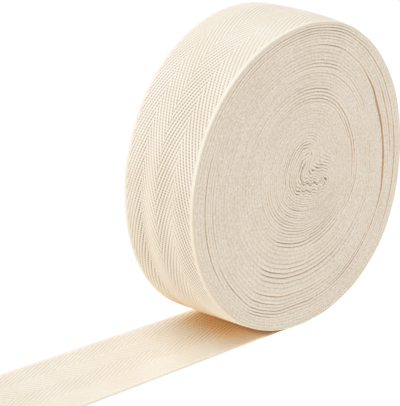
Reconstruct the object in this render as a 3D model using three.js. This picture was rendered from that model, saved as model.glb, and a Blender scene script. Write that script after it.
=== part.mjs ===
// A roll of herringbone twill tape standing on its rim, with its loose end lying flat in front.
// Millimetres. +X is the roll's axis, +Z is up, and the loose end runs off towards -Y.
// The origin is the middle of the flat spot that the roll rests on.
import * as THREE from 'three';

// The tape: 38 mm (1 1/2 in) wide, and one turn of it takes 1.4 mm of radius.
const TAPE_WIDTH = 38;
const TAPE_THICKNESS = 1;
const TURN_PITCH = 1.4;

// The wound roll, measured to the outside of its last turn.
const ROLL_RADIUS = 64.5;
const RIM_CROWN = 0.6;
const FAR_END_GAIN = 0.85;
const SELVEDGE_ROUNDING = 0.35;

// The flat spot: how far the round form would reach under the surface, and where the flat ends in front.
const FLAT_SINK = 0.15;
const FLAT_END_Y = 4;

// The tape leaves the roll a little past its lowest point, and lies flat from there.
const LEAVE_Y = -9;
const LOOSE_END_Y = -146;
const PIECE_GAP = 0.32;
// By then the tape has run a little off line, away from the +X end.
const RUN_OFF = -2.6;

// The crushed start of the winding sits a little off the middle of the roll.
const START_Y = 4;
const START_Z = 64.8;

// How far each end of the roll is from round: a wave with so many lobes, at the far (-X) and near (+X) end.
const OUT_OF_ROUND = [
  { lobes: 1, farCos: -0.1, farSin: 0, nearCos: 0.5, nearSin: 0 },
  { lobes: 2, farCos: -0.8, farSin: 0.35, nearCos: 0, nearSin: -0.95 },
  { lobes: 3, farCos: 0.42, farSin: -0.46, nearCos: -0.48, nearSin: -0.2 },
  { lobes: 4, farCos: -0.32, farSin: -0.31, nearCos: -0.32, nearSin: -0.01 },
];

// The ends of the roll from the rim inwards: how deep the turns lie under the level of the selvedges.
const END_RELIEF = [
  { part: 0.97, depth: 0.05 },
  { part: 0.94, depth: 0.1 },
  { part: 0.925, depth: 0.6 },
  { part: 0.91, depth: 0.1 },
  { part: 0.86, depth: 0.1 },
  { part: 0.84, depth: 1.0 },
  { part: 0.82, depth: 0.15 },
  { part: 0.65, depth: 0.2 },
  { part: 0.62, depth: 0.8 },
  { part: 0.59, depth: 0.2 },
  { part: 0.5, depth: 0.25 },
  { part: 0.47, depth: 0.7 },
  { part: 0.44, depth: 0.2 },
  { part: 0.26, depth: 0.4 },
  { part: 0.1, depth: 1.0 },
];
const START_DEPTH = 1.6;

// How finely the surfaces are divided.
const COLUMNS = 96;
const RIM_ROWS = 5;
const HEIGHT_STEPS = 96;
const LOOSE_END_STEPS = 12;

const FULL_TURN = 2 * Math.PI;
const QUARTER_TURN = Math.PI / 2;
const BOTTOM = 1.5 * Math.PI;
const LEAVE_ANGLE = BOTTOM + Math.asin(LEAVE_Y / ROLL_RADIUS);
const FLAT_END_ANGLE = BOTTOM + Math.asin(FLAT_END_Y / ROLL_RADIUS);

// Radius of the last turn at a turned angle from where it leaves; across runs from 0 (far end) to 1 (near end).
function turnRadius(turned, across) {
  const angle = LEAVE_ANGLE + turned;
  let radius = ROLL_RADIUS - TURN_PITCH * (turned / FULL_TURN);
  radius += RIM_CROWN * (1 - (2 * across - 1) ** 2) + FAR_END_GAIN * (1 - across);
  for (const wave of OUT_OF_ROUND) {
    const cos = THREE.MathUtils.lerp(wave.farCos, wave.nearCos, across);
    const sin = THREE.MathUtils.lerp(wave.farSin, wave.nearSin, across);
    radius += cos * Math.cos(wave.lobes * angle) + sin * Math.sin(wave.lobes * angle);
  }
  return radius;
}

// Height of the roll's axis that sinks the lowest point of the last turn just under the surface.
function axisHeight(across) {
  let lowest = 0;
  for (let step = 0; step < HEIGHT_STEPS; step += 1) {
    const turned = (step / HEIGHT_STEPS) * QUARTER_TURN;
    const height = turnRadius(turned, across) * Math.sin(LEAVE_ANGLE + turned);
    lowest = Math.min(lowest, height);
  }
  return -lowest - FLAT_SINK;
}

// A point of the last turn, in the plane across the axis. Round its lowest point the turn is pressed flat, and so is
// the stretch from there to where the tape leaves.
function turnPoint(turned, across) {
  const angle = LEAVE_ANGLE + turned;
  if (angle < FLAT_END_ANGLE) {
    return { y: ROLL_RADIUS * Math.cos(angle), z: 0 };
  }
  const radius = turnRadius(turned, across);
  const round = axisHeight(across) + radius * Math.sin(angle);
  return { y: radius * Math.cos(angle), z: Math.max(round, 0) };
}

// One closed mesh from a list of points and a list of polygons, each polygon fanned from its first corner.
function closedMesh(points, polygons) {
  const index = [];
  for (const corners of polygons) {
    for (let k = 1; k + 1 < corners.length; k += 1) {
      index.push(corners[0], corners[k], corners[k + 1]);
    }
  }
  const geometry = new THREE.BufferGeometry();
  geometry.setAttribute('position', new THREE.Float32BufferAttribute(points.flat(), 3));
  geometry.setIndex(index);
  return geometry;
}

// The rim: columns round the spiral, one more than a closed ring has, each a row of points from end to end.
function rimColumns(points) {
  const columns = [];
  for (let column = 0; column <= COLUMNS; column += 1) {
    const turned = (column / COLUMNS) * FULL_TURN;
    const row = [];
    for (let k = 0; k <= RIM_ROWS; k += 1) {
      const across = k / RIM_ROWS;
      const { y, z } = turnPoint(turned, across);
      row.push(points.length);
      points.push([(across * 2 - 1) * (TAPE_WIDTH / 2 - SELVEDGE_ROUNDING), y, z]);
    }
    columns.push(row);
  }
  return columns;
}

function rimPolygons(rim) {
  const polygons = [];
  const first = rim[0];
  const last = rim[COLUMNS];
  for (let k = 0; k < RIM_ROWS; k += 1) {
    for (let column = 0; column < COLUMNS; column += 1) {
      polygons.push([rim[column][k], rim[column + 1][k], rim[column + 1][k + 1], rim[column][k + 1]]);
    }
    // The one-thickness step where the tape leaves.
    polygons.push([last[k], first[k], first[k + 1], last[k + 1]]);
  }
  return polygons;
}

// One closed ring of an end, a part of the way from the start of the winding out to the turn under the last one.
function endRing(points, ring, end) {
  const corners = [];
  const middleY = THREE.MathUtils.lerp(START_Y, 0, ring.part);
  const middleZ = THREE.MathUtils.lerp(START_Z, axisHeight(end.across), ring.part);
  for (let column = 0; column < COLUMNS; column += 1) {
    const turned = (column / COLUMNS) * FULL_TURN;
    const spiralGain = TURN_PITCH * (1 - turned / FULL_TURN);
    const radius = ring.part * (turnRadius(turned, end.across) - spiralGain);
    const angle = LEAVE_ANGLE + turned;
    corners.push(points.length);
    points.push([
      end.side * (TAPE_WIDTH / 2 - ring.depth),
      middleY + radius * Math.cos(angle),
      middleZ + radius * Math.sin(angle),
    ]);
  }
  return corners;
}

function endPolygons(points, rim, end) {
  const rings = END_RELIEF.map((ring) => endRing(points, ring, end));
  const start = points.length;
  points.push([end.side * (TAPE_WIDTH / 2 - START_DEPTH), START_Y, START_Z]);
  const edge = rim.map((row) => row[end.side > 0 ? RIM_ROWS : 0]);
  const innermost = rings[rings.length - 1];
  const polygons = [];
  for (let column = 0; column < COLUMNS; column += 1) {
    const next = (column + 1) % COLUMNS;
    if (column === 0) {
      // The two ends of the spiral lie one above the other on the side of this cell.
      polygons.push([edge[1], rings[0][1], rings[0][0], edge[COLUMNS], edge[0]]);
    } else {
      polygons.push([edge[column], edge[column + 1], rings[0][next], rings[0][column]]);
    }
    for (let k = 0; k + 1 < rings.length; k += 1) {
      polygons.push([rings[k][column], rings[k][next], rings[k + 1][next], rings[k + 1][column]]);
    }
    polygons.push([innermost[column], innermost[next], start]);
  }
  return polygons.map((corners) => (end.side > 0 ? corners : corners.reverse()));
}

// The roll: a spiral rim with its step, and the relief of the turns on both ends.
function woundRoll() {
  const points = [];
  const rim = rimColumns(points);
  const polygons = rimPolygons(rim);
  for (const end of [{ across: 0, side: -1 }, { across: 1, side: 1 }]) {
    polygons.push(...endPolygons(points, rim, end));
  }
  return closedMesh(points, polygons);
}

// The loose end: a flat sheet with rounded selvedges, cut straight across. It is drawn in cross-section, standing on
// the surface, and drawn out towards -Y.
function looseEnd() {
  const half = TAPE_WIDTH / 2;
  const section = new THREE.Shape([
    new THREE.Vector2(-half + SELVEDGE_ROUNDING, 0),
    new THREE.Vector2(half - SELVEDGE_ROUNDING, 0),
    new THREE.Vector2(half, TAPE_THICKNESS / 2),
    new THREE.Vector2(half - SELVEDGE_ROUNDING, TAPE_THICKNESS),
    new THREE.Vector2(-half + SELVEDGE_ROUNDING, TAPE_THICKNESS),
    new THREE.Vector2(-half, TAPE_THICKNESS / 2),
  ]);
  const geometry = new THREE.ExtrudeGeometry(section, {
    depth: LEAVE_Y - PIECE_GAP - LOOSE_END_Y,
    steps: LOOSE_END_STEPS,
    bevelEnabled: false,
  });
  return geometry.rotateX(Math.PI / 2);
}

function tapeCloth(name) {
  const material = new THREE.MeshStandardMaterial({ color: 0xf3ead8, roughness: 0.95, metalness: 0 });
  material.name = name;
  return material;
}

function piece(name, geometry) {
  const mesh = new THREE.Mesh(geometry, tapeCloth(name));
  mesh.name = name;
  return mesh;
}

const roll = new THREE.Group();
roll.add(piece('wound_roll', woundRoll()));

const end = piece('loose_end', looseEnd());
end.position.set(RUN_OFF, LEAVE_Y - PIECE_GAP, 0);
roll.add(end);

export default roll;
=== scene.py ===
# A roll of herringbone twill tape that stands on its rim, with its loose end lying flat in front of it.
import math

import bpy
import numpy as np
from mathutils import Matrix


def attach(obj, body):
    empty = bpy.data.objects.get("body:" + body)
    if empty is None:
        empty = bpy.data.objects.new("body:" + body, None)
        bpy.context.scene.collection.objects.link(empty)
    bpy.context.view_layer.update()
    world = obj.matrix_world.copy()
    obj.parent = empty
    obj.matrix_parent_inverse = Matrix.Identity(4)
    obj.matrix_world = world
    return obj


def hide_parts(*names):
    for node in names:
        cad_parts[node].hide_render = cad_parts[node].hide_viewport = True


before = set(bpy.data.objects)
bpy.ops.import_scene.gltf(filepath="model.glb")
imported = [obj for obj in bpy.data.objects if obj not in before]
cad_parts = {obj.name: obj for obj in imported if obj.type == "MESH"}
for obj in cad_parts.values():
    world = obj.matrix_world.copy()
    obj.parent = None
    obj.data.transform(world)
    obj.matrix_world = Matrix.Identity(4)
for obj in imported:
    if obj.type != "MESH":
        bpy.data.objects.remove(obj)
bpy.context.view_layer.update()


# The camera stands to the right of the loose end, a little above the roll, and sees the rim and the near
# end. It is a long lens, tipped a few degrees, with the middle of the picture on its axis.
CAMERA_AZIMUTH = 44.63
CAMERA_ELEVATION = 17.27
CAMERA_ROLL = 2.89
CAMERA_DISTANCE = 0.4517
CAMERA_LENS = 97.5
# The point on its axis, in metres: sideways and up, as seen, from the roll's middle, and that middle's height.
LOOKED_AT = (-0.0290, -0.0132, 0.0645)


def photo_camera():
    """Looks back along the line given by azimuth and elevation, then turns about that line by the roll."""
    azimuth, elevation, roll = (math.radians(a) for a in (CAMERA_AZIMUTH, CAMERA_ELEVATION, CAMERA_ROLL))
    back = np.array([
        math.sin(azimuth) * math.cos(elevation),
        -math.cos(azimuth) * math.cos(elevation),
        math.sin(elevation),
    ])
    level = np.array([math.cos(azimuth), math.sin(azimuth), 0.0])
    upright = np.cross(back, level)
    right = math.cos(roll) * level + math.sin(roll) * upright
    up = math.cos(roll) * upright - math.sin(roll) * level
    sideways, upwards, axis_height = LOOKED_AT
    place = np.array([0, 0, axis_height]) + sideways * right + upwards * up + CAMERA_DISTANCE * back
    camera = bpy.data.objects.new("photo_camera", bpy.data.cameras.new("photo_camera"))
    bpy.context.scene.collection.objects.link(camera)
    axes = np.array([right, up, back]).T
    camera.matrix_world = Matrix([(*row, at) for row, at in zip(axes, place)] + [(0, 0, 0, 1)])
    camera.data.lens = CAMERA_LENS
    camera.data.clip_start, camera.data.clip_end = 0.01, 50.0
    bpy.context.scene.camera = camera


photo_camera()


# The wound turns: one cotton tape rolled up on itself with no core, and stood on its rim, where it settles
# flat. Lengths are in millimetres until a mesh is made. Angles go round the near end from +Y towards +Z,
# and turns count inwards from where the tape leaves, so a depth under the rim grows by a pitch each turn.
FULL_TURN = 2 * math.pi
ROLL_RADIUS = 64.5
TURN_PITCH = 1.4
TAPE_WIDTH = 38.0
TAPE_THICKNESS = 1.0
LEAVE_Y = -9.0
FLAT_END_Y = 4.0
FLAT_SINK = 0.15
RUN_OFF = -2.6
RUN_OFF_TURNED = math.radians(45)
RIM_CROWN = 0.6
FAR_END_GAIN = 0.85
LEAVE_ANGLE = 1.5 * math.pi + math.asin(LEAVE_Y / ROLL_RADIUS)
FLAT_END_TURNED = math.asin(FLAT_END_Y / ROLL_RADIUS) - math.asin(LEAVE_Y / ROLL_RADIUS)
# How far each end is from round: the number of lobes, and the wave's cosine and sine parts in mm at each end.
OUT_OF_ROUND = (
    {"lobes": 1, "far": (-0.1, 0.0), "near": (0.5, 0.0)},
    {"lobes": 2, "far": (-0.8, 0.35), "near": (0.0, -0.95)},
    {"lobes": 3, "far": (0.42, -0.46), "near": (-0.48, -0.2)},
    {"lobes": 4, "far": (-0.32, -0.31), "near": (-0.32, -0.01)},
)
# The tape was folded on itself to start with, and the fold got crushed and bent like an L: one arm stands
# up on the left, the other lies to the right. The line down its middle runs through three places, from the
# middle of the winding. The winding is looser under its middle than over it, so the inner rings lie higher
# than the roll's own axis.
START_Z = 64.5
RISE = 4.8
RISE_RINGS = (31.0, 51.0)
FOLD_TOP = (-0.4, 3.9)
FOLD_CORNER = (-2.4, -4.6)
FOLD_RIGHT = (10.1, -6.6)
FOLD_TILT = math.radians(-50)
FOLD_GRIP = 2.2
ARM_TURNED = (math.radians(-45), math.radians(36))
FOLD_REACH = 30.0
RIPPLE = 0.6
RIPPLE_LENGTH = 4.4
RIPPLE_REACH = 7.0
SMALLEST_SIZE = 0.004
# The winding is uneven too: pressed in at the upper right and at the lower right, and loose over the top.
# For rings at three depths under the rim: how far out their turns lie in mm, every 15 degrees round. From the
# fourth depth on they aren't shifted.
SHIFT_DEPTHS = (0.0, 11.5, 33.0, 47.0)
SHIFT_STEP = 15
RIM_SHIFT = (
    -0.2, -0.3, 0.0, 0.0, 0.3, 0.8, 0.4, 0.0, 0.0, 0.0, 0.0, 0.0,
    0.0, 0.0, 0.0, 0.0, 0.0, 0.0, 0.0, -0.5, -0.9, -0.4, 0.4, 0.2,
)
LOOSE_SHIFT = (
    -0.9, -1.4, -1.6, -0.2, 1.2, 2.4, 2.6, 2.2, 1.6, 1.2, 1.0, 0.7,
    0.5, 0.5, 0.6, 0.9, 1.9, 1.5, 0.2, -0.1, 0.1, 0.0, 0.0, 0.2,
)
MIDDLE_SHIFT = (
    -1.0, -1.5, -1.9, -1.9, -1.3, -1.1, -1.0, -1.0, -1.0, -0.7, -0.4, 0.0,
    0.0, 0.0, 0.3, 0.5, 0.5, 0.0, -0.4, -1.1, -1.5, -1.5, -0.7, -0.2,
)


def near_end_share(x):
    """0 at the far selvedge and 1 at the near one."""
    return np.clip(x / TAPE_WIDTH + 0.5, 0, 1)


def outline_radius(angle, across):
    """The radius, plus a crown across the rim, plus for each number of lobes a wave that differs by end."""
    radius = ROLL_RADIUS + RIM_CROWN * (1 - (2 * across - 1) ** 2) + FAR_END_GAIN * (1 - across)
    for wave in OUT_OF_ROUND:
        cosine, sine = ((1 - across) * far + across * near for far, near in zip(wave["far"], wave["near"]))
        radius = radius + cosine * np.cos(wave["lobes"] * angle) + sine * np.sin(wave["lobes"] * angle)
    return radius


def axis_height(across):
    """The height at which the first quarter of the last turn would sink just under the surface."""
    turned = np.linspace(0, 0.5 * math.pi, 97)[:, None]
    radius = outline_radius(LEAVE_ANGLE + turned, across.ravel()) - TURN_PITCH * turned / FULL_TURN
    lowest = (radius * np.sin(LEAVE_ANGLE + turned)).min(axis=0)
    return (-lowest - FLAT_SINK).reshape(across.shape)


def smooth_between(x, start, end):
    """0 up to the start and 1 from the end on. Between them it is the share of the way squared, times three
    less twice that share."""
    share = np.clip((x - start) / (end - start), 0, 1)
    return share * share * (3 - 2 * share)


def uneven_shift(angle, depth, across):
    """The shifts joined by smooth steps, round the end and from one depth to the next, out to nothing in
    the middle. Those of the rim fade towards the far end."""
    step = (np.degrees(angle) % 360) / SHIFT_STEP
    places = len(RIM_SHIFT)
    left = step.astype(int) % places
    share = smooth_between(step, np.floor(step), np.floor(step) + 1)
    tables = [np.array(table) for table in (RIM_SHIFT, LOOSE_SHIFT, MIDDLE_SHIFT)]
    round_it = [table[left] * (1 - share) + table[(left + 1) % places] * share for table in tables]
    round_it[0] = round_it[0] * across
    inwards = [smooth_between(depth, start, end) for start, end in zip(SHIFT_DEPTHS, SHIFT_DEPTHS[1:])]
    shift = round_it[0] * (1 - inwards[0]) + round_it[1] * inwards[0]
    shift = shift * (1 - inwards[1]) + round_it[2] * inwards[1]
    return shift * (1 - inwards[2])


def wound_place(turned, depth, x):
    """Y and Z of a point of the winding, from how far it has turned, its depth under the rim and its x. The
    rings shrink from the outline towards the start. Near it each goes round the bent fold at a steady
    distance: it is at the fold's middle line, plus its radius square to that line, plus a small ripple.
    Farther out, no point lies lower than its depth under the rim."""
    across = near_end_share(x)
    angle = LEAVE_ANGLE + turned
    size = np.clip(1 - depth / ROLL_RADIUS, SMALLEST_SIZE, None)
    radius = size * outline_radius(angle, across) + uneven_shift(angle, depth, across)
    ring = size * ROLL_RADIUS
    fold = 1 - smooth_between(ring, 0, FOLD_REACH)
    along = np.tanh(FOLD_GRIP * np.cos(angle - FOLD_TILT))
    y_fold, z_fold = (
        top * along * (along - 1) / 2 + corner * (1 - along * along) + right * along * (along + 1) / 2
        for top, corner, right in zip(FOLD_TOP, FOLD_CORNER, FOLD_RIGHT)
    )
    facing = angle + fold * (ARM_TURNED[0] * (1 - along) + ARM_TURNED[1] * (1 + along)) / 2
    rise = RISE * (1 - smooth_between(ring, *RISE_RINGS))
    y = radius * np.cos(facing) + fold * y_fold
    z = (1 - size) * START_Z + size * axis_height(across) + rise + radius * np.sin(facing) + fold * z_fold
    ripple = RIPPLE * np.sin(y * FULL_TURN / RIPPLE_LENGTH) * np.exp(-(ring / RIPPLE_REACH) ** 2)
    z = np.where(ring > FOLD_REACH, np.maximum(z, depth), z + ripple)
    return y, z


def laid_place(turned, depth, outer_depth, x):
    """The same, but the first bit of the last turn lies flat on the surface before the roll lifts it."""
    y, z = wound_place(turned, depth, x)
    laid = turned < FLAT_END_TURNED
    y = np.where(laid, ROLL_RADIUS * np.cos(LEAVE_ANGLE + turned), y)
    z = np.where(laid, depth - outer_depth, z)
    return y, z


# The weave: 98 warp ends and a pick every 1.07 mm. On the roll a mesh row goes with every half pick.
WARP_ENDS = 98
END_PITCH = TAPE_WIDTH / WARP_ENDS
PICK_PITCH = 1.07
LOOSE_LENGTH = 137.0
ALL_TURNS = 45.45
# Inside the last turn a radian counts as 3 mm of tape at least, so that small turns get enough stations.
CORE_STEP = 3.0
CORE_STEP_FROM = 1.9 * math.pi
FINE_SAMPLES = 120001


def run_of_tape():
    """Turned angle and tape length at stations along the winding, from the loose end's leaving point to the
    start. The stations are half a pick apart along the tape, and closer where a turn is only a few
    millimetres across."""
    turned = np.linspace(0, ALL_TURNS * FULL_TURN, FINE_SAMPLES)
    depth = TURN_PITCH * (turned / FULL_TURN + 0.5)
    y, z = wound_place(turned, depth, np.zeros_like(turned))
    step = np.hypot(np.diff(y), np.diff(z))
    length = np.concatenate([[0], np.cumsum(step)])
    least = CORE_STEP * np.diff(turned) * (turned[1:] > CORE_STEP_FROM)
    measure = np.concatenate([[0], np.cumsum(np.hypot(step, least))])
    stations = np.arange(0, measure[-1], 0.5 * PICK_PITCH)
    return np.interp(stations, measure, turned), LOOSE_LENGTH + np.interp(stations, measure, length)


station_turned, station_length = run_of_tape()


def drift(at, spacing, seed):
    """A slow seeded wander between -1 and 1: a random value at every spacing, joined by smooth steps."""
    values = np.random.default_rng(seed).uniform(-1, 1, int(np.max(at) / spacing) + 3)
    step = at / spacing
    left = np.floor(step).astype(int)
    share = smooth_between(step, left, left + 1)
    return values[left] * (1 - share) + values[left + 1] * share


# Where turns lie a little apart over a whole area, so that each shows as a line: radius of the middle ring,
# angle round the end, half the area's width in mm, half its reach in degrees, and how loose it is.
LOOSE_AREAS = (
    {"ring": 61.0, "angle": 125, "width": 3.5, "reach": 50, "share": 0.8},
    {"ring": 57.0, "angle": 84, "width": 4.5, "reach": 28, "share": 0.8},
    {"ring": 58.5, "angle": 8, "width": 4.0, "reach": 50, "share": 0.5},
    {"ring": 54.0, "angle": 262, "width": 5.0, "reach": 30, "share": 0.9},
    {"ring": 55.0, "angle": 185, "width": 4.0, "reach": 40, "share": 0.6},
    {"ring": 45.0, "angle": 84, "width": 3.5, "reach": 34, "share": 0.6},
    {"ring": 41.0, "angle": 272, "width": 3.5, "reach": 54, "share": 0.9},
    {"ring": 31.5, "angle": 60, "width": 3.0, "reach": 70, "share": 0.6},
    {"ring": 31.0, "angle": 272, "width": 4.5, "reach": 50, "share": 0.6},
    {"ring": 26.0, "angle": 225, "width": 5.5, "reach": 50, "share": 0.8},
    {"ring": 15.0, "angle": 150, "width": 5.0, "reach": 60, "share": 0.6},
)
# The middle is loose too: fully inside the first of these two rings, and not at all outside the second. The
# looseness also wanders along the tape, by the change about its mean.
MIDDLE_LOOSE = (9.0, 17.0)
UNEVENLY_LOOSE = {"mean": 0.55, "change": 0.45, "every": 0.3, "seed": 5}
# The crease between two turns in mm: where they are pressed together, and how much it widens where loose.
TIGHT_CREASE = 0.02
LOOSE_CREASE = 0.15
# Where the winding is slack a gap shows between two turns: which turn in, at what angle round the end, how
# many degrees it reaches to each side, and how wide it gets in mm. They go roughly from the rim inwards.
SLACK = (
    (1, 150, 36, 0.20), (1, 82, 34, 0.18), (2, 74, 26, 0.19), (2, 112, 44, 0.24), (3, -4, 42, 0.58),
    (3, 38, 44, 0.36), (3, 84, 40, 0.20), (4, 112, 44, 0.24), (5, 22, 30, 0.42), (5, 187, 44, 0.44),
    (5, 248, 16, 0.20), (6, 252, 20, 0.22), (7, 222, 24, 0.30), (7, 246, 16, 0.20), (8, 14, 53, 1.30),
    (8, -40, 46, 0.46), (8, 68, 42, 0.17), (8, 187, 30, 0.26), (8, 268, 36, 0.28), (9, 246, 26, 0.18),
    (9, -46, 28, 0.38), (12, 266, 40, 0.26), (13, 86, 30, 0.15), (14, 90, 34, 0.17), (14, 48, 24, 0.24),
    (16, 54, 32, 0.22), (16, 268, 60, 0.17), (17, 270, 64, 0.20), (18, 280, 46, 0.17), (21, 86, 24, 0.20),
    (21, -18, 26, 0.34), (22, 88, 50, 0.17), (22, -14, 34, 0.36), (23, 30, 60, 0.30), (23, 90, 56, 0.17),
    (24, 14, 50, 0.34), (24, 84, 60, 0.19), (25, 36, 30, 0.30), (22, 296, 24, 0.26), (23, 274, 52, 0.20),
    (24, 272, 58, 0.27), (25, 296, 34, 0.32), (26, 302, 26, 0.30), (27, 266, 44, 0.18), (28, 262, 40, 0.18),
    (28, 222, 40, 0.20), (29, 216, 44, 0.20), (30, 225, 50, 0.16), (32, 214, 44, 0.22), (33, 216, 40, 0.18),
    (35, 224, 36, 0.22), (37, 192, 30, 0.30), (38, 182, 36, 0.32), (39, 165, 44, 0.32), (40, 140, 46, 0.34),
    (41, 160, 50, 0.34), (42, 175, 34, 0.32), (44, 190, 24, 0.50), (43, 130, 18, 0.40), (42, 88, 16, 0.42),
    (41, 36, 5, 0.55), (42, 40, 6, 0.55), (40, 29, 5, 0.50), (39, 24, 5, 0.34), (38, 16, 6, 0.14),
    (37, 17, 7, 0.14), (43, -22, 24, 0.85), (44, -50, 26, 0.72), (43, 212, 12, 0.40), (42, 212, 14, 0.40),
    (40, 209, 14, 0.36), (38, 206, 14, 0.32), (42, 222, 14, 0.30), (43, 237, 22, 0.42), (41, 220, 16, 0.30),
    (44, 262, 12, 0.40), (44, 28, 24, 0.24), (45, 26, 30, 0.24),
)
SLACK_PLATEAU = 1.4
# The turn thins over this angle from its own thickness to that of the loose tape.
THINNED_TURNED = math.radians(40)


def looseness(turned):
    """0 where the turns are pressed together, up to 1 where loose: a bell for each area, and the middle."""
    ring = ROLL_RADIUS - TURN_PITCH * turned / FULL_TURN
    loose = 1 - smooth_between(ring, *MIDDLE_LOOSE)
    for area in LOOSE_AREAS:
        away = np.degrees(LEAVE_ANGLE + turned) - area["angle"]
        away = (away + 180) % 360 - 180
        bell = np.exp(-((ring - area["ring"]) / area["width"]) ** 2 - (away / area["reach"]) ** 2)
        loose = np.maximum(loose, area["share"] * bell)
    change = UNEVENLY_LOOSE["change"] * drift(turned, UNEVENLY_LOOSE["every"], UNEVENLY_LOOSE["seed"])
    return loose * (UNEVENLY_LOOSE["mean"] + change)


def gap_outside(turned):
    """The width of the gap between a turn and the one outside it: a crease that widens where the winding is
    loose, and at each slack place a raised cosine, made higher by the plateau's factor and cut flat at the
    gap's width."""
    gap = TIGHT_CREASE + LOOSE_CREASE * looseness(turned)
    for turn, angle, reach, width in SLACK:
        middle = (math.radians(angle) - LEAVE_ANGLE) % FULL_TURN + FULL_TURN * turn
        away = np.clip(np.abs(turned - middle) / math.radians(reach), 0, 1)
        gap = np.maximum(gap, width * np.minimum(SLACK_PLATEAU * (0.5 + 0.5 * np.cos(math.pi * away)), 1))
    return gap


def turn_faces(turned):
    """Depths of a turn's outer and inner face: a pitch apart, less half of the gap on each side. Near the
    loose end the turn is no thicker than the loose tape is."""
    outer = TURN_PITCH * turned / FULL_TURN + 0.5 * gap_outside(turned)
    inner = TURN_PITCH * (turned / FULL_TURN + 1) - 0.5 * gap_outside(turned + FULL_TURN)
    loose = 1 - smooth_between(turned, 0, THINNED_TURNED)
    outer = outer * (1 - loose) + TURN_PITCH * turned / FULL_TURN * loose
    inner = inner * (1 - loose) + (outer + TAPE_THICKNESS) * loose
    return outer, inner


# The selvedges are where the weft turns back round the last warp end, so they are round and have a small
# loop at every pick: how far in from the selvedge, and what share of the thickness, the edge's points are.
SELVEDGE_IN = (0.3, 0.09, 0.0, 0.09, 0.3)
SELVEDGE_SHARE = (0.0, 0.16, 0.5, 0.84, 1.0)
# A pressed turn keeps this share of the rounding.
TIGHT_ROUNDING = 0.3
# A gap of this width lets the edges beside it round fully and take their full painted highlight, and one of
# this width has the darkest painted brown shade inside.
ROUNDING_GAP = 0.18
GAP_SHADE_WIDTH = 0.65
# The loops stick out and sway by up to this much, more where they are free, and no two are quite alike.
LOOP_BULGE = 0.1
LOOP_SWAY = 0.12
FREE_LOOP_GAIN = 0.6
LOOP_CHANGE = {"every": 1.3, "near_seed": 42, "far_seed": 40}
# How far the turns stick out of the ends of the roll, in mm: a wander with a value for each 2.7 turns, and
# a quicker one with a value for each 70 mm of tape. Both set in between the two turns named last.
GROUP_DRIFT, GROUP_TURNS = 0.2, 2.7
TURN_DRIFT, TURN_LENGTH = 0.12, 70.0
END_SEED = {1: 11, -1: 23}
STEADY_TURNS = (0.4, 1.4)


def edge_offset(turned, length, side):
    """How far the tape's edge sticks out of its end of the roll: a slow drift for groups of turns, a
    quicker one for each turn, and the last turn running off line before it leaves."""
    groups = GROUP_DRIFT * drift(turned / FULL_TURN, GROUP_TURNS, END_SEED[side])
    each = TURN_DRIFT * drift(length, TURN_LENGTH, END_SEED[side] + 1)
    steady = smooth_between(turned / FULL_TURN, *STEADY_TURNS)
    return RUN_OFF * (1 - smooth_between(turned, 0, RUN_OFF_TURNED)) + (groups + each) * steady


def wound_rows(turned, length):
    """The closed cross-section of the tape at each station, as rows of points: five round the near
    selvedge, from the outer face to the inner, and five back round the far one. Pressed turns have square
    edges, slack ones round edges. With the points goes the slack, which places painted shade and highlight:
    1 on the walls of an open gap, where the painted shade is, down to -1 on the tip of the edge beside it,
    where the painted highlight is."""
    outer, inner = (face[:, None] for face in turn_faces(turned))
    picks = length[:, None] / PICK_PITCH
    gaps = [gap_outside(turned + more)[:, None] for more in (0, FULL_TURN)]
    relaxed = looseness(turned)[:, None]
    rows, gap_shade_and_highlight_rows = [], []
    for side in (1, -1):
        order = slice(None) if side > 0 else slice(None, None, -1)
        inwards = np.array(SELVEDGE_IN)[None, order]
        share = np.array(SELVEDGE_SHARE)[None, order]
        tip = inwards == 0
        open_side = np.where(share < 0.5, gaps[0], gaps[1])
        open_side = np.where(tip, np.maximum(*gaps), open_side)
        roundness = np.clip(np.maximum(open_side / ROUNDING_GAP, relaxed), 0, 1)
        inwards = inwards * (TIGHT_ROUNDING + (1 - TIGHT_ROUNDING) * roundness)
        on_edge = (share > 0.1) & (share < 0.9)
        seed = LOOP_CHANGE["near_seed"] if side > 0 else LOOP_CHANGE["far_seed"]
        rough = 0.5 + 0.5 * drift(length, LOOP_CHANGE["every"], seed)[:, None]
        free = 1 + FREE_LOOP_GAIN * roundness
        bulge = LOOP_BULGE * free * rough * np.cos(FULL_TURN * picks) * on_edge
        sway = LOOP_SWAY * free * rough * np.cos(0.5 * FULL_TURN * picks + side) * tip
        x = side * (TAPE_WIDTH / 2 - inwards + bulge) + edge_offset(turned, length, side)[:, None]
        depth = outer + (inner - outer) * (share + sway)
        grid = np.broadcast_to(turned[:, None], x.shape)
        y, z = laid_place(grid, depth, outer, x)
        rows.append(np.stack([x, y, z], axis=-1))
        # Painted shade on the walls of an open gap, and painted highlight on the tips of the free edges beside
        # it.
        gap_wall_shade = np.clip(open_side / GAP_SHADE_WIDTH, 0, 1)
        gap_shade_and_highlight_rows.append(np.where(on_edge, -roundness * np.where(tip, 1, 0.5), gap_wall_shade))
    return np.concatenate(rows, axis=1), np.concatenate(gap_shade_and_highlight_rows, axis=1)


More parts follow.
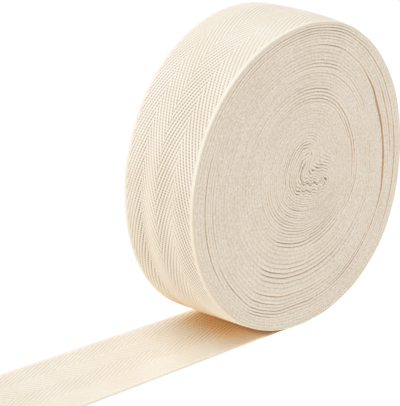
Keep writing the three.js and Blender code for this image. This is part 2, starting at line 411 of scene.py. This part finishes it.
def tube_mesh(name, rows, maps=None, **values):
    """A closed mesh from a grid of points: each row is a closed cross-section, and both ends are capped.
    maps holds a pair of map coordinates for every point. Any other grid of values becomes an attribute of
    its own."""
    count, around = rows.shape[:2]
    corner = np.arange(count * around).reshape(count, around)
    after = np.roll(corner, -1, axis=1)
    quads = np.stack([corner[:-1], corner[1:], after[1:], after[:-1]], axis=-1).reshape(-1, 4)
    caps = [tuple(corner[0]), tuple(corner[-1][::-1])]
    mesh = bpy.data.meshes.new(name)
    mesh.from_pydata((rows.reshape(-1, 3) * 0.001).tolist(), [], [tuple(q) for q in quads.tolist()] + caps)
    if maps is not None:
        uv = mesh.uv_layers.new(name="tape_map")
        used = np.zeros(len(mesh.loops), int)
        mesh.loops.foreach_get("vertex_index", used)
        uv.data.foreach_set("uv", maps.reshape(-1, 2)[used].astype(np.float32).ravel())
    for key, grid in values.items():
        attribute = mesh.attributes.new(key, "FLOAT", "POINT")
        attribute.data.foreach_set("value", grid.astype(np.float32).ravel())
    mesh.polygons.foreach_set("use_smooth", np.ones(len(mesh.polygons), bool))
    mesh.update()
    piece = bpy.data.objects.new(name, mesh)
    bpy.context.scene.collection.objects.link(piece)
    return piece


def linear(hexed):
    """An sRGB colour such as "#f3ead8" as linear red, green, blue and alpha."""
    parts = [int(hexed[k:k + 2], 16) / 255 for k in (1, 3, 5)]
    return (*[c / 12.92 if c <= 0.04045 else ((c + 0.055) / 1.055) ** 2.4 for c in parts], 1.0)


def add(material, kind, inputs=None, **settings):
    """Adds a shader node with its settings, and gives each input a value or another node's output."""
    node = material.node_tree.nodes.new("ShaderNode" + kind)
    for name, value in settings.items():
        setattr(node, name, value)
    for socket, value in (inputs or {}).items():
        if isinstance(value, bpy.types.NodeSocket):
            material.node_tree.links.new(value, node.inputs[socket])
        else:
            node.inputs[socket].default_value = value
    return node


def cloth_shader(name, roughness):
    """A material with only a matt shader, and that shader."""
    material = bpy.data.materials.new(name)
    material.use_nodes = True
    shader = material.node_tree.nodes["Principled BSDF"]
    shader.inputs["Roughness"].default_value = roughness
    shader.inputs["Specular IOR Level"].default_value = 0.2
    return material, shader


def selvedge_cotton():
    """Undyed cotton seen on its woven edge: matt, a little pinker than the face of the tape, mottled from
    loop to loop. Deep in a gap between two turns it has painted orange-brown shade, and the free edges
    beside the gap have a painted pale highlight."""
    material, shader = cloth_shader("selvedge_cotton", 0.95)
    place = add(material, "TexCoord").outputs["Object"]
    grain = add(material, "TexNoise", {"Vector": place, "Scale": 950.0, "Detail": 2.0, "Roughness": 0.7})
    cloud = add(material, "TexNoise", {"Vector": place, "Scale": 70.0, "Detail": 2.0})
    cloud = add(material, "Math", {0: cloud.outputs["Fac"], 1: 0.2}, operation="MULTIPLY").outputs[0]
    both = add(material, "Math", {0: grain.outputs["Fac"], 1: cloud}, operation="ADD")
    share = add(material, "MapRange", {"Value": both.outputs[0], "From Min": 0.4, "From Max": 0.8})
    darker, paler = linear("#e7d7c0"), linear("#fdf3e5")
    colour = add(material, "Mix", {"Factor": share.outputs[0], "A": darker, "B": paler},
                 data_type="RGBA").outputs["Result"]
    # Painted orange-brown shade deep in the gaps between turns.
    slack = add(material, "Attribute", attribute_name="slack").outputs["Fac"]
    inside = add(material, "MapRange", {"Value": slack, "From Min": 0.1, "From Max": 0.9}).outputs[0]
    colour = add(material, "Mix", {"Factor": inside, "A": colour, "B": linear("#f3e2c9")}, data_type="RGBA",
                 blend_type="MULTIPLY").outputs["Result"]
    # Painted pale highlight on the free edges beside a gap.
    free = add(material, "MapRange", {"Value": slack, "From Min": -0.1, "From Max": -1.0, "To Max": 0.6})
    colour = add(material, "Mix", {"Factor": free.outputs[0], "A": colour, "B": linear("#fff4e4")},
                 data_type="RGBA")
    material.node_tree.links.new(colour.outputs["Result"], shader.inputs["Base Color"])
    fibre = add(material, "TexNoise", {"Vector": place, "Scale": 1500.0, "Detail": 2.0})
    bump = add(material, "Bump", {"Height": fibre.outputs["Fac"], "Strength": 0.4, "Distance": 0.0002})
    material.node_tree.links.new(bump.outputs["Normal"], shader.inputs["Normal"])
    return material


# Two pieces share the wound tape. They meet halfway along it, in the same cross-section.
wound = station_turned > FULL_TURN
wound_points, wound_gap_shade_and_highlight = wound_rows(station_turned[wound], station_length[wound])
half = np.argmin(np.abs(station_length[wound] - 0.5 * station_length[-1]))
edge_cotton = selvedge_cotton()
for name, part in (("outer_turns", slice(None, half + 1)), ("inner_turns", slice(half, None))):
    turns = tube_mesh(name, wound_points[part], slack=wound_gap_shade_and_highlight[part])
    turns.data.materials.append(edge_cotton)
    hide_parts("wound_roll")
    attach(turns, "root")


# The last turn, whose outer face is the rim of the roll, and the loose end that runs off it. Both are the
# same herringbone twill: four stripes of 2/2 twill that lean by turns to either side, between two narrow
# plain selvedges.
SELVEDGE_ENDS = 4.0
STRIPE_ENDS = 22.5
TWILL_REPEAT = 4.0
STRIPE_BREAK = 2.0
RIDGE_HEIGHT = 0.12
PIT_DEPTH = 0.10
# The face's own cross-section keeps this share of the selvedge's rounding.
FLAT_ROUNDING = 0.6
# How brown the painted shade in the pits is at full strength.
PIT_STRENGTH = 0.66
# Where the painted shade in the pits between the ridges is darker or paler than on the rest of the rim: how
# far from the far selvedge and how far round the last turn, half the width, half the length in degrees, and by
# how much. The first two paint shade into the groove below and light onto its swell.
PIT_PATCHES = (
    {"across": 9.4, "turned": 292, "width": 2.6, "length": 34, "shade": 0.5},
    {"across": 14.5, "turned": 296, "width": 2.8, "length": 34, "shade": -0.55},
    {"across": 21.0, "turned": 286, "width": 4.0, "length": 28, "shade": 0.4},
    {"across": 27.0, "turned": 292, "width": 2.6, "length": 22, "shade": -0.25},
    {"across": 32.5, "turned": 286, "width": 3.2, "length": 26, "shade": 0.4},
    {"across": 24.0, "turned": 246, "width": 6.0, "length": 24, "shade": 0.25},
    {"across": 13.0, "turned": 200, "width": 5.0, "length": 16, "shade": 0.2},
)
# The tape is bent lengthwise along the first stripe, low on the side where it leaves the roll: a groove
# beside a swell.
GROOVE = {"across": 9.4, "turned": 300, "width": 1.8, "length": 36, "depth": 0.45}
SWELL = {"across": 14.5, "turned": 300, "width": 3.0, "length": 36, "depth": -0.35}
# The painted shade in the pits is weak over the top of the roll and strong down its side, so that the side
# looks darker, between these angles in degrees.
TOP_PITS, SIDE_PITS = 0.4, 0.35
SIDE_BEGINS, SIDE_ENDS = (205, 245), (305, 330)
PIT_RANGE = (0.05, 1.4)
# Light that has gone through and between the turns is warm: it colours the tape where roll and loose end
# meet, and a little of the side above. It is a glow and a tint, both fixed to the tape. On the last turn it
# fades over the near quarter of the width, and on the loose end away from a line a little on the far side
# of the middle.
WARM_TURNED = (math.radians(312), math.radians(348))
WARM_WIDTH = (0.75 * TAPE_WIDTH, TAPE_WIDTH)
WARM_REACH = (21.0, 40.0)
WARM_MIDDLE, WARM_OFF_MIDDLE, WARM_EDGE_LOSS = 0.45, (0.2, 0.5), 0.6
WARM_GLOW = 0.08
SIDE_WARM = 0.22
SIDE_TURNED = (math.radians(245), math.radians(295))
# Where the last turn presses on the table its near edge has painted shade, and so has the tape right under the
# roll.
PRESSED_TURNED = (math.radians(18), math.radians(34))
UNDER_REACH = (10.0, 20.0)
UNDER_ROLL_SHADE = 0.75
# The painted shade in the pits of the loose end: how dark it is far out, how much darker near the roll, which
# shades the tape, and how much of that is lost towards the near selvedge.
FAR_PITS, ROLL_PITS, PITS_REACH = 0.36, 0.42, (12.0, 60.0)
PALE_LOSS, PALE_ACROSS = 0.55, (21.0, 30.0)
# How close the loose end's picks lie, as a share of the roll's: beside it, far out, and where that changes.
CLOSENESS = (0.9, 1.34)
DRAWN_REACH = (10.0, 70.0)
DRAWN_SAMPLES = 2001


def twill_phase(ends, picks):
    """The share of a twill repeat: ends counted forwards in one stripe and back in the next, plus picks."""
    stripe = np.floor((ends - SELVEDGE_ENDS) / STRIPE_ENDS)
    inside = (ends - SELVEDGE_ENDS) % (2 * STRIPE_ENDS)
    folded = np.where(inside > STRIPE_ENDS, 2 * STRIPE_ENDS - inside, inside)
    return (folded + STRIPE_BREAK * (stripe % 2) + picks) / TWILL_REPEAT


def weave_height(ends, picks):
    """A ridge for every repeat, as a cosine, with a pit at each pick in the valley between two ridges. Both
    fade on the selvedges, which are woven plain."""
    ridge = np.cos(FULL_TURN * twill_phase(ends, picks))
    pit = np.clip(-ridge, 0, 1) ** 2 * (0.5 + 0.5 * np.cos(FULL_TURN * picks))
    inside = smooth_between(np.minimum(ends, WARP_ENDS - ends), SELVEDGE_ENDS - 1, SELVEDGE_ENDS + 1)
    return (RIDGE_HEIGHT * ridge - PIT_DEPTH * pit) * inside


def patch_share(patch, across, turned):
    """1 in the middle of a patch and falling off as a bell, across the tape and round the last turn."""
    return np.exp(-((across - patch["across"]) / patch["width"]) ** 2
                  - ((np.degrees(turned) - patch["turned"]) / patch["length"]) ** 2)


def pit_shade(across, turned):
    """How dark the painted shade in the pits of the last turn is: the value of the top, a smooth step up and
    down again for the side, and the patches."""
    side = smooth_between(np.degrees(turned), *SIDE_BEGINS) - smooth_between(np.degrees(turned), *SIDE_ENDS)
    shade = TOP_PITS + SIDE_PITS * side
    for patch in PIT_PATCHES:
        shade = shade + patch["shade"] * patch_share(patch, across, turned)
    return np.clip(shade, *PIT_RANGE)


def face_rows(length):
    """For rows along the tape as woven: x across it, the share of its thickness from the outer face, the
    height of the weave and the map, for a cross-section of a column for each warp end and the two
    selvedges."""
    ends = np.arange(WARP_ENDS) + 0.5
    near_in, near_share = FLAT_ROUNDING * np.array(SELVEDGE_IN)[1:], np.array(SELVEDGE_SHARE)[1:]
    half = TAPE_WIDTH / 2
    across = np.concatenate([ends * END_PITCH - half, half - near_in, near_in[::-1] - half])
    share = np.concatenate([np.zeros(WARP_ENDS), near_share, near_share[::-1]])
    picks = length[:, None] / PICK_PITCH
    height = weave_height(ends[None], picks)
    height = np.concatenate([height, np.zeros((len(length), 2 * len(near_in)))], axis=1)
    x = np.broadcast_to(across, height.shape).copy()
    change = drift(length - length.min(), LOOP_CHANGE["every"], LOOP_CHANGE["near_seed"])
    rough = 0.5 + 0.5 * change[:, None]
    on_edge = (share > 0.1) & (share < 0.9)
    x += np.sign(across) * LOOP_BULGE * rough * np.cos(FULL_TURN * picks) * on_edge
    u = np.broadcast_to(across + half, height.shape)
    v = np.broadcast_to(length[:, None], height.shape)
    return x, share, height, np.stack([u, v], axis=-1)


def last_turn_rows(turned, length):
    """The winding's own form, with the face raised by the weave and bent by the groove and the swell. With
    the points go the map, how much painted warm light the cloth has, how dark the painted shade in its pits
    is, and how much painted shade it has. Where the turn lies on the surface, the ridges are sunk into its
    thickness."""
    x, share, height, maps = face_rows(length)
    near, far = (edge_offset(turned, length, side)[:, None] for side in (1, -1))
    x = x + np.where(x > 0, near, far)
    outer, inner = (face[:, None] for face in turn_faces(turned))
    grid = np.broadcast_to(turned[:, None], x.shape)
    across = maps[..., 0]
    bend = sum(patch["depth"] * patch_share(patch, across, grid) for patch in (GROOVE, SWELL))
    laid = grid < FLAT_END_TURNED
    depth = outer + (inner - outer) * share + np.where(share == 0, bend - height + RIDGE_HEIGHT * laid, 0)
    y, z = laid_place(grid, depth, outer, x)
    warm = smooth_between(grid, *WARM_TURNED) * (1 - smooth_between(across, *WARM_WIDTH))
    warm = np.maximum(warm, SIDE_WARM * smooth_between(grid, *SIDE_TURNED))
    # Painted shade on the near edge where the last turn presses on the table.
    pressed = 1 - smooth_between(grid, *PRESSED_TURNED)
    dark = pressed * ((x > 0) & (share > 0.1))
    return np.stack([x, y, z], axis=-1), maps, warm, pit_shade(across, grid), dark


def loose_end_rows():
    """The tape laid flat from where it leaves the roll, its face upwards, which was the inner side of the
    turn. It was wound under tension and has drawn in, so the picks lie the closer the farther out they are.
    A row for each quarter pick: the woven length is the sum of the closeness over the distance from the
    roll."""
    distance = np.linspace(0, LOOSE_LENGTH, DRAWN_SAMPLES)
    closeness = CLOSENESS[0] + (CLOSENESS[1] - CLOSENESS[0]) * smooth_between(distance, *DRAWN_REACH)
    woven = np.concatenate([[0], np.cumsum(0.5 * (closeness[1:] + closeness[:-1]) * np.diff(distance))])
    rows = np.linspace(woven[-1], 0, int(woven[-1] / (0.25 * PICK_PITCH)))
    x, share, height, maps = face_rows(LOOSE_LENGTH - rows)
    y = np.broadcast_to(LEAVE_Y - np.interp(rows, woven, distance)[:, None], x.shape)
    z = TAPE_THICKNESS * (1 - share) + height - RIDGE_HEIGHT * (share == 0)
    off_middle = smooth_between(np.abs(maps[..., 0] / TAPE_WIDTH - WARM_MIDDLE), *WARM_OFF_MIDDLE)
    warm = (1 - smooth_between(-y, *WARM_REACH)) * (1 - WARM_EDGE_LOSS * off_middle)
    # Painted shadow of the roll on the tape right under it.
    dark = UNDER_ROLL_SHADE * (1 - smooth_between(-y, *UNDER_REACH))
    # Painted shade in the pits, stronger near the roll and weaker towards the near selvedge.
    pits = FAR_PITS + ROLL_PITS * (1 - smooth_between(-y, *PITS_REACH))
    pits = pits * (1 - PALE_LOSS * smooth_between(maps[..., 0], *PALE_ACROSS))
    return np.stack([x + RUN_OFF, y, z], axis=-1), maps, warm, pits, dark


def twill_cotton():
    """Undyed cotton yarn in a herringbone twill: matt and pale, with painted brown shade between the ridges,
    darkest in the pits where the weft shows. It follows the map, in millimetres across and along the tape.
    The selvedges are plain, and have a painted shade where the mesh says the tape is wound. The mesh also
    says how strong the painted shade in the pits is, how much painted warm light the cloth has as a tint
    and a glow, and how much painted shade darkens it."""
    material, shader = cloth_shader("twill_cotton", 0.9)
    tape = add(material, "UVMap", uv_map="tape_map").outputs["UV"]
    mapped = add(material, "SeparateXYZ", {0: tape})
    ends = add(material, "Math", {0: mapped.outputs["X"], 1: 1 / END_PITCH},
               operation="MULTIPLY").outputs[0]
    picks = add(material, "Math", {0: mapped.outputs["Y"], 1: 1 / PICK_PITCH},
                operation="MULTIPLY").outputs[0]
    inside = add(material, "Math", {0: ends, 1: SELVEDGE_ENDS}, operation="SUBTRACT").outputs[0]
    folded = add(material, "Math", {0: inside, 1: STRIPE_ENDS}, operation="PINGPONG").outputs[0]
    stripe = add(material, "Math", {0: inside, 1: STRIPE_ENDS}, operation="DIVIDE").outputs[0]
    stripe = add(material, "Math", {0: stripe}, operation="FLOOR").outputs[0]
    odd = add(material, "Math", {0: stripe, 1: 2.0}, operation="FLOORED_MODULO").outputs[0]
    broken = add(material, "Math", {0: odd, 1: STRIPE_BREAK, 2: folded},
                 operation="MULTIPLY_ADD").outputs[0]
    stepped = add(material, "Math", {0: broken, 1: picks}, operation="ADD").outputs[0]
    phase = add(material, "Math", {0: stepped, 1: FULL_TURN / TWILL_REPEAT},
                operation="MULTIPLY").outputs[0]
    ridge = add(material, "Math", {0: phase}, operation="COSINE").outputs[0]
    # Painted brown shade in the valleys between the ridges and in the pits at each pick.
    valley = add(material, "MapRange", {"Value": ridge, "From Min": 0.3, "From Max": -0.8}).outputs[0]
    beat = add(material, "Math", {0: picks, 1: FULL_TURN}, operation="MULTIPLY").outputs[0]
    beat = add(material, "Math", {0: beat}, operation="COSINE").outputs[0]
    pick = add(material, "MapRange", {"Value": beat, "From Min": -0.7, "From Max": 0.7, "To Min": 0.4})
    pit = add(material, "Math", {0: valley, 1: pick.outputs[0]}, operation="MULTIPLY").outputs[0]
    middle = add(material, "Math", {0: ends, 1: 0.5 * WARP_ENDS}, operation="SUBTRACT").outputs[0]
    middle = add(material, "Math", {0: middle}, operation="ABSOLUTE").outputs[0]
    twilled = add(material, "MapRange", {"Value": middle, "From Min": 0.5 * WARP_ENDS - SELVEDGE_ENDS + 1,
                                         "From Max": 0.5 * WARP_ENDS - SELVEDGE_ENDS - 1}).outputs[0]
    pit = add(material, "Math", {0: pit, 1: twilled}, operation="MULTIPLY").outputs[0]
    strength = add(material, "Attribute", attribute_name="pit_shade").outputs["Fac"]
    pit = add(material, "Math", {0: pit, 1: strength}, operation="MULTIPLY").outputs[0]
    pit = add(material, "Math", {0: pit, 1: PIT_STRENGTH}, operation="MULTIPLY").outputs[0]
    place = add(material, "TexCoord").outputs["Object"]
    cloud = add(material, "TexNoise", {"Vector": place, "Scale": 60.0, "Detail": 3.0})
    tone = add(material, "MapRange", {"Value": cloud.outputs["Fac"], "From Min": 0.35, "From Max": 0.65})
    yarn = add(material, "Mix", {"Factor": tone.outputs[0], "A": linear("#f9f0e0"), "B": linear("#fcf5e8")},
               data_type="RGBA")
    colour = add(material, "Mix", {"Factor": pit, "A": yarn.outputs["Result"], "B": linear("#7f5a34")},
                 data_type="RGBA").outputs["Result"]
    # Painted shade on the selvedges where the tape is wound; the loose end's selvedges get none.
    edge = add(material, "MapRange", {"Value": middle, "From Min": 0.5 * WARP_ENDS - 0.4,
                                      "From Max": 0.5 * WARP_ENDS - 0.1}).outputs[0]
    wound_edge = add(material, "Attribute", attribute_name="wound_edge").outputs["Fac"]
    edge = add(material, "Math", {0: edge, 1: wound_edge}, operation="MULTIPLY").outputs[0]
    colour = add(material, "Mix", {"Factor": edge, "A": colour, "B": linear("#f1e4cf")},
                 data_type="RGBA").outputs["Result"]
    # Painted warm light, as a tint here and as a glow in the emission below.
    warm = add(material, "Attribute", attribute_name="warm").outputs["Fac"]
    colour = add(material, "Mix", {"Factor": warm, "A": colour, "B": linear("#fff0d2")}, data_type="RGBA",
                 blend_type="MULTIPLY").outputs["Result"]
    # Painted shade: on the pressed near edge of the last turn, and the roll's shadow on the tape under it.
    dark = add(material, "Attribute", attribute_name="dark").outputs["Fac"]
    colour = add(material, "Mix", {"Factor": dark, "A": colour, "B": linear("#bd8248")}, data_type="RGBA",
                 blend_type="MULTIPLY")
    material.node_tree.links.new(colour.outputs["Result"], shader.inputs["Base Color"])
    glow = add(material, "Math", {0: warm, 1: WARM_GLOW}, operation="MULTIPLY").outputs[0]
    shader.inputs["Emission Color"].default_value = linear("#ffb970")
    material.node_tree.links.new(glow, shader.inputs["Emission Strength"])
    fibre = add(material, "TexNoise", {"Vector": place, "Scale": 1300.0, "Detail": 2.0})
    bump = add(material, "Bump", {"Height": fibre.outputs["Fac"], "Strength": 0.3, "Distance": 0.0002})
    material.node_tree.links.new(bump.outputs["Normal"], shader.inputs["Normal"])
    return material


# The last turn runs on by this angle past a full turn, over the start of the next, so that no seam opens.
LAST_OVERLAP = 0.06
last = station_turned <= FULL_TURN + LAST_OVERLAP
cotton = twill_cotton()
points, maps, warm, shade, dark = last_turn_rows(station_turned[last], station_length[last])
last_turn = tube_mesh("last_turn", points, maps, warm=warm, pit_shade=shade, dark=dark,
                      wound_edge=np.ones(warm.shape))
last_turn.data.materials.append(cotton)
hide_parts("wound_roll")
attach(last_turn, "root")

points, maps, warm, shade, dark = loose_end_rows()
loose_end = tube_mesh("loose_end_tape", points, maps, warm=warm, pit_shade=shade, dark=dark,
                      wound_edge=np.zeros(warm.shape))
loose_end.data.materials.append(cotton)
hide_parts("loose_end")
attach(loose_end, "root")


# A plain white floor that glows as a lit table of a photo studio does, an even white sky, and one large
# soft light from the upper left, which gives the rim more light than the near end.
FLOOR_DROP = 0.0002
FLOOR_HALF = 12.0
SUN_LIGHT, SUN_WIDTH = 1.25, math.radians(50)
SUN_TURNED = (math.radians(24), 0, math.radians(-18))


def studio():
    """A square floor just under the roll, the world's even light, and a wide sun."""
    corners = [(x * FLOOR_HALF, y * FLOOR_HALF) for x, y in ((-1, -1), (1, -1), (1, 1), (-1, 1))]
    mesh = bpy.data.meshes.new("studio_floor")
    mesh.from_pydata([(x, y, -FLOOR_DROP) for x, y in corners], [], [(0, 1, 2, 3)])
    floor = bpy.data.objects.new("studio_floor", mesh)
    bpy.context.scene.collection.objects.link(floor)
    material, shader = cloth_shader("white_table", 0.8)
    shader.inputs["Base Color"].default_value = (0.02, 0.02, 0.02, 1)
    shader.inputs["Emission Color"].default_value = (1, 1, 1, 1)
    shader.inputs["Emission Strength"].default_value = 1.0
    mesh.materials.append(material)
    world = bpy.data.worlds.new("studio_sky")
    bpy.context.scene.world = world
    world.use_nodes = True
    world.node_tree.nodes["Background"].inputs["Color"].default_value = (1, 1, 1, 1)
    world.node_tree.nodes["Background"].inputs["Strength"].default_value = 0.61
    sun = bpy.data.objects.new("soft_key", bpy.data.lights.new("soft_key", "SUN"))
    bpy.context.scene.collection.objects.link(sun)
    sun.data.energy, sun.data.angle = SUN_LIGHT, SUN_WIDTH
    sun.rotation_euler = SUN_TURNED
    bpy.context.scene.view_settings.view_transform = "Standard"


studio()
